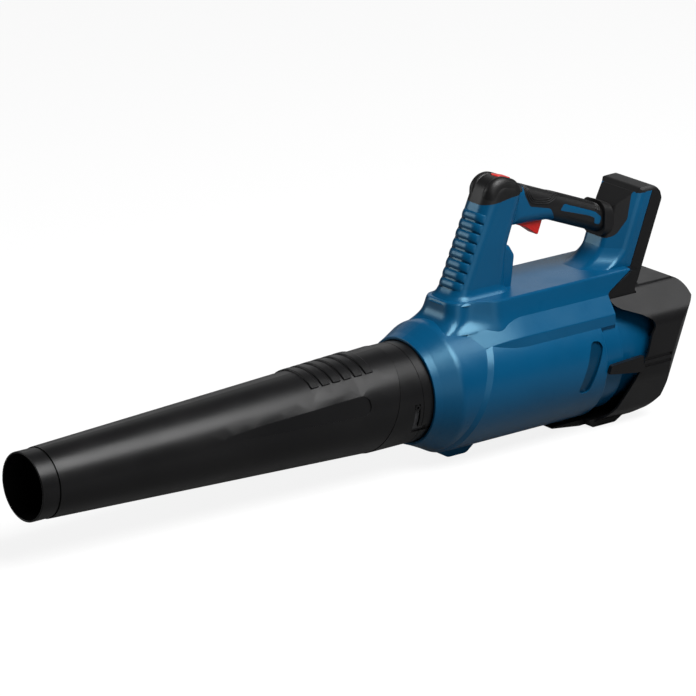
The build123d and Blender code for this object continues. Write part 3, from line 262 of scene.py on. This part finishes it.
def moulded(name, dark, light, rough, grain, depth, specular=0.5, tint=(1, 1, 1), shade=None):
    """Moulded plastic: faint colour drift, spark-eroded grain, handled patches that are a little smoother,
    and painted shade where a shade mask is given.
    """
    shader = Shader(name)
    drift = shader.noise(9, 3)
    fine = shader.noise(grain, 3)
    colour = shader.blend((drift * 0.7 + fine * 0.3).band(0.3, 0.7), dark, light)
    # painted shade: where the mask is 1 the colour goes to 0.3 of the dark tone
    if shade:
        colour = shader.blend(shade(shader), colour, [0.3 * c for c in dark])
    patches = shader.noise(26, 4).band(0.35, 0.75)
    shader.set(Base_Color=colour, Roughness=patches * 0.06 + fine * 0.08 + (rough - 0.07))
    shader.bump((fine * 0.7 + shader.cells(grain * 0.6) * 0.3) * depth, 1.0)
    return shader.set(Specular_IOR_Level=specular, Specular_Tint=(*tint, 1))


def hollow_shade(shader):
    """Painted shade in the slanted hollow of the side panels, where the wall lies nearer the fan axis; else
    0.
    """
    x = shader.axis("X") - SHIFT_X
    y = shader.axis("Y")
    z = shader.axis("Z") - AXIS_Z
    radius = (y * y + z * z) ** 0.5
    rear, front = HOLLOW
    between = x.band(rear, rear + HOLLOW_END) * (1.0 - x.band(front - HOLLOW_END, front))
    return between * (1.0 - radius.band(HOLLOW_RADIUS, HOLLOW_RADIUS + HOLLOW_WALL)) * HOLLOW_DARK


def metal(name, dark, light, rough, stretch):
    """Metal with drawn or ground lines: noise stretched by a scale along each axis."""
    shader = Shader(name)
    lines = shader.noise(1.0, 3, shader.stretched(stretch))
    shader.set(Base_Color=shader.blend(lines.band(0.3, 0.7), dark, light))
    shader.set(Roughness=lines * 0.2 + (rough - 0.1), Metallic=1.0)
    shader.bump(lines, 0.00002, 0.4)
    return shader


# The blue gets painted shade in the hollow of the side panels.
BLUE = moulded("blue_plastic", (0.0004, 0.058, 0.142), (0.0008, 0.070, 0.168), 0.31, 2600, 0.00002, 0.58,
               (0.4, 0.8, 1.0), hollow_shade)
BLACK = moulded("black_plastic", (0.0062, 0.0062, 0.0066), (0.0092, 0.0090, 0.0094), 0.34, 2400, 0.000015,
                0.22)
SOFT = moulded("soft_black", (0.0050, 0.0050, 0.0055), (0.0085, 0.0083, 0.0085), 0.46, 3200, 0.00003, 0.36)
RED = moulded("red_plastic", (0.52, 0.012, 0.010), (0.62, 0.020, 0.014), 0.34, 2600, 0.00002, 0.45)
GREY = moulded("grey_plastic", (0.028, 0.028, 0.031), (0.05, 0.05, 0.054), 0.5, 1800, 0.00006)
RUBBER = moulded("rubber_black", (0.008, 0.008, 0.008), (0.016, 0.016, 0.016), 0.75, 2200, 0.00008, 0.3)
STEEL = metal("steel", (0.36, 0.36, 0.38), (0.62, 0.62, 0.64), 0.3, (40, 2500, 2500))
LAMINATION = metal("lamination_steel", (0.2, 0.2, 0.21), (0.42, 0.42, 0.44), 0.42, (2600, 30, 30))
MAGNET = metal("magnet", (0.12, 0.12, 0.13), (0.22, 0.22, 0.23), 0.4, (400, 400, 400))
ALLOY = metal("cast_alloy", (0.42, 0.43, 0.45), (0.62, 0.63, 0.65), 0.5, (700, 700, 700))
COPPER = metal("copper", (0.42, 0.15, 0.06), (0.72, 0.32, 0.14), 0.34, (40, 2400, 2400))
BOARD = moulded("circuit_board", (0.008, 0.07, 0.03), (0.018, 0.12, 0.05), 0.35, 1500, 0.00005)
LEADS = moulded("lead_insulation", (0.012, 0.012, 0.013), (0.03, 0.03, 0.032), 0.45, 1500, 0.00004)

LOOKS = {
    "blue_plastic": BLUE, "black_plastic": BLACK, "soft_black": SOFT, "red_plastic": RED,
    "grey_plastic": GREY, "rubber_black": RUBBER, "steel": STEEL, "lamination_steel": LAMINATION,
    "magnet": MAGNET, "cast_alloy": ALLOY, "copper": COPPER, "circuit_board": BOARD, "lead_insulation": LEADS,
}


def finish_solids():
    """Gives each solid the look of its material slot."""
    for part in frame["record"]["subparts"]:
        mesh = nodes[part["node"]].data
        mesh.materials.clear()
        mesh.materials.append(LOOKS[part["material_slot"]].material)


def linked(name, data):
    """New object at the origin, in the scene."""
    obj = bpy.data.objects.new(name, data)
    bpy.context.scene.collection.objects.link(obj)
    return obj


def piece(name, verts, faces, look, slot):
    """Smooth mesh that rides on the tool's root body."""
    mesh = bpy.data.meshes.new(name)
    mesh.from_pydata(verts.tolist(), [], faces)
    mesh.shade_smooth()
    mesh.materials.append(look.material)
    obj = linked(name, mesh)
    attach(obj, "root")


def grip_side(x, z):
    """Half width of the grip's rounded section at a point of its side view."""
    drop = (GRIP_TOP[1] + (x - GRIP_TOP[0]) * np.tan(GRIP_SLOPE) - z) * np.cos(GRIP_SLOPE)
    near = np.clip(np.minimum(drop, GRIP_DEPTH - drop), 0, GRIP_EDGE)
    return GRIP_HALF - GRIP_EDGE + np.sqrt(GRIP_EDGE ** 2 - (GRIP_EDGE - near) ** 2)


def on_grip(x, girth):
    """Points on the grip: x of a section's foot on the top line, girth round it from the top's middle."""
    flat = GRIP_HALF - GRIP_EDGE
    turn = np.clip((girth - flat) / GRIP_EDGE, 0, math.pi / 2)
    below = np.maximum(girth - flat - GRIP_EDGE * math.pi / 2, 0)
    y = np.minimum(girth, flat) + GRIP_EDGE * np.sin(turn)
    drop = GRIP_EDGE * (1 - np.cos(turn)) + below
    top = GRIP_TOP[1] + (x - GRIP_TOP[0]) * math.tan(GRIP_SLOPE)
    return np.column_stack([x + drop * math.sin(GRIP_SLOPE), y, top - drop * math.cos(GRIP_SLOPE)])


def unit(rows):
    """Vectors, one to a row, made one long."""
    return rows / np.linalg.norm(rows, axis=1)[:, None]


def rounded_path(points, share=0.14, rounds=3):
    """Points with a share of each side cut off at its corners again and again, ends kept."""
    path = np.array(points)
    for _ in range(rounds):
        sides = np.diff(path, axis=0)
        cut = np.stack([path[:-1] + share * sides, path[1:] - share * sides], 1).reshape(-1, path.shape[1])
        path = np.concatenate([path[:1], cut, path[-1:]])
    return path


def moved_sideways(path, distance):
    """A flat path moved to its left by a distance."""
    way = unit(np.gradient(path, axis=0))
    return path + distance * np.column_stack([-way[:, 1], way[:, 0]])


def spaced(path, step):
    """Points at even steps along a path."""
    run = np.concatenate([[0], np.cumsum(np.linalg.norm(np.diff(path, axis=0), axis=1))])
    at = np.linspace(0, run[-1], max(2, int(run[-1] / step)))
    return np.column_stack([np.interp(at, run, column) for column in path.T])


def beads(paths, radius, sides=8):
    """Round beads: a circle carried along each path, square to it, ends closed; no path runs along lean."""
    lean = (0, 1, 0.3)
    turn = 2 * math.pi * np.arange(sides)[:, None] / sides
    verts, faces, base = [], [], 0
    for path in paths:
        way = unit(np.gradient(path, axis=0))
        across = unit(np.cross(way, lean))
        up = np.cross(across, way)
        circles = np.cos(turn) * across[:, None] + np.sin(turn) * up[:, None]
        verts.append((path[:, None] + radius * circles).reshape(-1, 3))
        rings = base + np.arange(len(path) * sides).reshape(-1, sides)
        beside = np.roll(rings, -1, axis=1)
        faces += np.stack([rings[:-1], rings[1:], beside[1:], beside[:-1]], 2).reshape(-1, 4).tolist()
        faces += [rings[0].tolist(), rings[-1, ::-1].tolist()]
        base += rings.size
    return np.concatenate(verts), faces


def sleeve_lines():
    """Three raised contour lines on each side of the sleeve, drawn in x and girth on the grip's surface."""
    middle = spaced(rounded_path(LINE_PATH), LINE_STEP)
    paths = []
    for shift in (-LINE_SPACING, 0.0, LINE_SPACING):
        x, girth = spaced(moved_sideways(middle, shift), LINE_STEP).T
        for side in (-1, 1):
            paths.append(on_grip(x, girth) * (1, side, 1) + (SHIFT_X, 0, AXIS_Z))
    piece("sleeve_lines", *beads(paths, LINE_RADIUS), SOFT, "soft_black")


def cells_of(grid):
    """The four corners of each cell of a grid of point numbers."""
    return np.stack([grid[:-1, :-1], grid[1:, :-1], grid[1:, 1:], grid[:-1, 1:]], 2).reshape(-1, 4)


def closed_skins(pairs):
    """One mesh of thin closed skins: each an outer and an inner grid of points and a wall round the rim."""
    verts, faces, base = [], [], 0
    for outer, inner in pairs:
        rows, columns = outer.shape[:2]
        size = rows * columns
        front = base + np.arange(size).reshape(rows, columns)
        rim = np.concatenate([front[0], front[1:, -1], front[-1, -2::-1], front[-2:0:-1, 0]])
        ahead = np.roll(rim, -1)
        wall = np.stack([rim, ahead, ahead + size, rim + size], 1)
        verts += [outer.reshape(-1, 3), inner.reshape(-1, 3)]
        faces += [cells_of(front), cells_of(front + size)[:, ::-1], wall]
        base += 2 * size
    return np.concatenate(verts), np.concatenate(faces).tolist()


def edge_height(edge, x):
    """Height at x of a straight edge given as (x, height there, slope)."""
    return edge[1] + (x - edge[0]) * edge[2]


def inlay_pads():
    """Black pad in each of the sleeve's blue windows: a thin skin between two edges, on the grip's side."""
    along, up = np.meshgrid(*[np.linspace(0, 1, count) for count in PAD_GRID], indexing="ij")
    x = PAD_ENDS[0] + (PAD_ENDS[1] - PAD_ENDS[0]) * along
    top = edge_height(PAD_TOP, x) - PAD_DROP * (1 - along) ** PAD_BEND
    bottom = np.maximum(edge_height(PAD_FOOT, x), edge_height(PAD_NOSE, x))
    z = bottom + (top - bottom) * up
    half = grip_side(x, z)
    pairs = []
    for side in (-1, 1):
        layers = [np.stack([x + SHIFT_X, side * (half + lift), z + AXIS_Z], 2) for lift in (PAD_OUT, -PAD_IN)]
        pairs.append([layer[::-side] for layer in layers])
    piece("inlay_pads", *closed_skins(pairs), SOFT, "soft_black")


def filleted(points, radii, step):
    """Points and outward normals along a polyline that turns left, its inner corners rounded."""
    points = np.array(points)
    places, normals = [], []
    start = points[0]
    for before, corner, after, radius in zip(points, points[1:], points[2:], radii):
        first, second = unit(np.array([corner - before, after - corner]))
        turn = math.acos(first @ second)
        cut = radius * math.tan(turn / 2)
        out = np.array([first[1], -first[0]])
        middle = corner - cut * first - radius * out
        count = max(2, int(np.linalg.norm(corner - start) / step))
        straight = np.linspace(start, corner - cut * first, count)[:-1]
        angle = np.linspace(0, turn, max(2, int(radius * turn / step)))[:-1, None]
        round_it = np.cos(angle) * out + np.sin(angle) * first
        places += [straight, middle + radius * round_it]
        normals += [np.broadcast_to(out, straight.shape), round_it]
        start = corner + cut * second
    return np.concatenate(places), np.concatenate(normals)


def cap_lobes():
    """Swell on the cap at each side of the button: a sine along the post's corner times a sine across it."""
    places, normals = filleted(LOBE_PATH, LOBE_FILLETS, LOBE_STEP)
    run = np.linspace(0, 1, len(places))
    across = np.linspace(0, 1, LOBE_COLUMNS)
    turn = (LOBE_INNER + (LOBE_OUTER - LOBE_INNER) * across - POST_FLAT) / POST_EDGE
    ways = zip((run, across), LOBE_SKEW, LOBE_SHARP)
    sines = [np.sin(math.pi * share ** skew) ** sharp for share, skew, sharp in ways]
    swell = LOBE_RISE * np.outer(*sines)
    pairs = []
    for side in (-1, 1):
        layers = []
        for lift in (swell - SKIN_SINK, np.full_like(swell, -SKIN_DEPTH)):
            ahead = lift * np.cos(turn) - POST_EDGE * (1 - np.cos(turn))
            x = places[:, 0, None] + normals[:, 0, None] * ahead + SHIFT_X
            z = places[:, 1, None] + normals[:, 1, None] * ahead + AXIS_Z
            y = side * (POST_FLAT + (POST_EDGE + lift) * np.sin(turn))
            layers.append(np.stack([x, y, z], 2)[::-side])
        pairs.append(layers)
    piece("cap_lobes", *closed_skins(pairs), SOFT, "soft_black")


def post_ribs():
    """Ribs up the post's front: round crowns between grooves, wrapped round the post, fading at its sides."""
    rise = math.radians(POST_RISE)
    up = np.array([math.cos(rise), 0, math.sin(rise)])
    out = np.array([math.sin(rise), 0, -math.cos(rise)])
    place = np.array([SHIFT_X, 0, AXIS_Z])
    foot = np.array([RIB_FOOT[0], 0, RIB_FOOT[1]]) + place
    front = np.array([POST_FRONT[0], 0, POST_FRONT[1]]) + place
    foot = foot + out * ((front - foot) @ out)
    columns, rows = RIB_GRID
    across, along = np.meshgrid(np.linspace(-1, 1, columns), np.linspace(0, 1, rows), indexing="ij")
    girth = np.abs(across) * (POST_FLAT + POST_EDGE * RIB_TURN)
    turn = np.clip((girth - POST_FLAT) / POST_EDGE, 0, None)
    side = np.sign(across)
    y = side * (np.minimum(girth, POST_FLAT) + POST_EDGE * np.sin(turn))
    back = POST_EDGE * (1 - np.cos(turn))
    fade = 1 - np.clip((np.abs(across) - RIB_FULL) / (1 - RIB_FULL), 0, 1) ** 2
    crown = RIB_CROWN * (1 - (2 * along - 1) ** 2) ** RIB_ROUND * fade - SKIN_SINK
    pairs = []
    for k in range(RIB_COUNT):
        run = RIB_PITCH * k + RIB_GROOVE / 2 + along * (RIB_PITCH - RIB_GROOVE)
        layers = []
        for lift in (crown, np.full_like(crown, -SKIN_DEPTH)):
            ahead = lift * np.cos(turn) - back
            aside = y + lift * side * np.sin(turn)
            layers.append(foot + run[..., None] * up + ahead[..., None] * out + aside[..., None] * (0, 1, 0))
        pairs.append(layers)
    piece("post_ribs", *closed_skins(pairs), BLUE, "blue_plastic")


def merged_copy(node):
    """Copy of a solid's mesh with its doubles merged, smooth but for its sharp edges."""
    mesh = nodes[node].data.copy()
    mesh.transform(nodes[node].matrix_world)
    shape = bmesh.new()
    shape.from_mesh(mesh)
    bmesh.ops.remove_doubles(shape, verts=shape.verts, dist=MERGE_WITHIN)
    shape.to_mesh(mesh)
    shape.free()
    mesh.shade_smooth()
    mesh.set_sharp_from_angle(angle=SHARP_EDGE)
    return mesh


def working_spring(node, joint, x, fixed_end, keep):
    """Copy of a spring's solid, merged and smooth, that rides on the root body in place of the solid."""
    obj = linked(f"{node}_coil", merged_copy(node))
    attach(obj, "root")
    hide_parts(node)
    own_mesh(obj)


def turned_to(obj, place, target):
    """Puts a lamp or a camera at a place and turns it towards a target."""
    obj.location = place
    obj.rotation_euler = Vector(np.subtract(target, place)).to_track_quat("-Z", "Y").to_euler()


def lamp(name, place, target, size, power):
    """Square area lamp turned towards a point."""
    data = bpy.data.lights.new(name, "AREA")
    data.size = size
    data.energy = power
    turned_to(linked(name, data), place, target)


def white_floor():
    """Floor that takes the shadow and shows white to the camera, through glass and faintly in gloss."""
    mesh = bpy.data.meshes.new("floor")
    corners = [(-1, -1), (1, -1), (1, 1), (-1, 1)]
    verts = [(FLOOR_REACH * x, FLOOR_REACH * y, -FLOOR_DROP) for x, y in corners]
    mesh.from_pydata(verts, [], [(0, 1, 2, 3)])
    paint = Shader("floor_white")
    camera_ray = paint.read("ShaderNodeLightPath", "Is Camera Ray")
    glossy_ray = paint.read("ShaderNodeLightPath", "Is Glossy Ray")
    through_ray = paint.read("ShaderNodeLightPath", "Is Transmission Ray")
    seen = camera_ray.high(through_ray).high(glossy_ray * FLOOR_IN_GLOSS)
    paint.set(Base_Color=(FLOOR_GREY, FLOOR_GREY, FLOOR_GREY, 1), Roughness=0.9, Specular_IOR_Level=0.1)
    paint.set(Emission_Color=paint.blend(seen, (0, 0, 0), (1, 1, 1)), Emission_Strength=FLOOR_SHOWN)
    mesh.materials.append(paint.material)
    linked("floor", mesh)


def studio():
    """White floor, pale sky and soft lamps."""
    scene = bpy.context.scene
    scene.view_settings.view_transform = "Standard"
    white_floor()

    scene.world = bpy.data.worlds.new("studio")
    scene.world.use_nodes = True
    sky = scene.world.node_tree.nodes["Background"]
    sky.inputs["Color"].default_value = (0.92, 0.96, 1.0, 1)
    sky.inputs["Strength"].default_value = 0.04

    lamp("top", (-0.5, 1.3, 2.3), (-0.1, 0, 0.12), 1.5, 92)
    lamp("left", (1.8, -2.1, 1.1), (-0.1, 0, 0.2), 1.2, 19)
    lamp("side", (0.6, 3.4, 0.9), (-0.1, 0, 0.1), 2.0, 14)
    lamp("rear", (-2.1, 0.75, 2.3), (-0.4, 0, 0.15), 1.2, 16)
    lamp("back", (-2.4, -3.1, 1.6), (0, 0, 0.1), 2.4, 10)


def camera():
    """Camera at the photograph's viewing angle."""
    data = bpy.data.cameras.new("camera")
    data.lens = FOCAL_PIXELS / PICTURE_WIDTH * SENSOR
    data.sensor_width = SENSOR
    data.clip_end = 100.0
    obj = linked("camera", data)
    shift = (SHIFT_X, 0, AXIS_Z)
    turned_to(obj, np.add(CAMERA_PLACE, shift), np.add(CAMERA_TARGET, shift))
    bpy.context.scene.camera = obj


finish_solids()
for spring, travel in SPRINGS.items():
    working_spring(spring, *travel)
sleeve_lines()
inlay_pads()
post_ribs()
cap_lobes()
studio()
camera()
